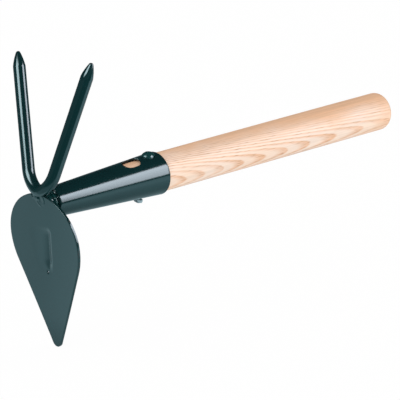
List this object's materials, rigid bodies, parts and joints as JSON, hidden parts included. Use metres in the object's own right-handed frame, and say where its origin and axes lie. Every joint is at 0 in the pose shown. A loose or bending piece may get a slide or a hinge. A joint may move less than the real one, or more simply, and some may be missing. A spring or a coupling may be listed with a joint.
{
  "type": "double hoe",
  "caption": "Short-handled garden hoe with a pointed blade below and a pronged fork above, welded to a tapered socket bolted on a wooden grip.",
  "frame": {"origin": "centre of the small flat on the grip's free end", "axes": "+X out of the grip's free end, with the head at -X; +Z towards the prongs and -Z towards the blade's point; +Y to the left prong seen from the head; X-Z is the plane of symmetry"},
  "size_m": [0.3412, 0.081, 0.1997],
  "materials": {
    "dark_green_enamel": "glossy dark green-blue enamel on steel",
    "ash_wood": "pale ash, sanded and clear satin varnish",
    "zinc_plated_steel": "bright zinc plating"
  },
  "bodies": {
    "root": {"grip": "ash_wood", "socket": "dark_green_enamel", "neck": "dark_green_enamel", "blade": "dark_green_enamel", "prong_bar": "dark_green_enamel", "weld_bead_front": "dark_green_enamel", "weld_bead_rear": "dark_green_enamel", "weld_fillet": "dark_green_enamel", "clamp_bolt": "dark_green_enamel", "nut": "zinc_plated_steel"}
  },
  "joints": []
}
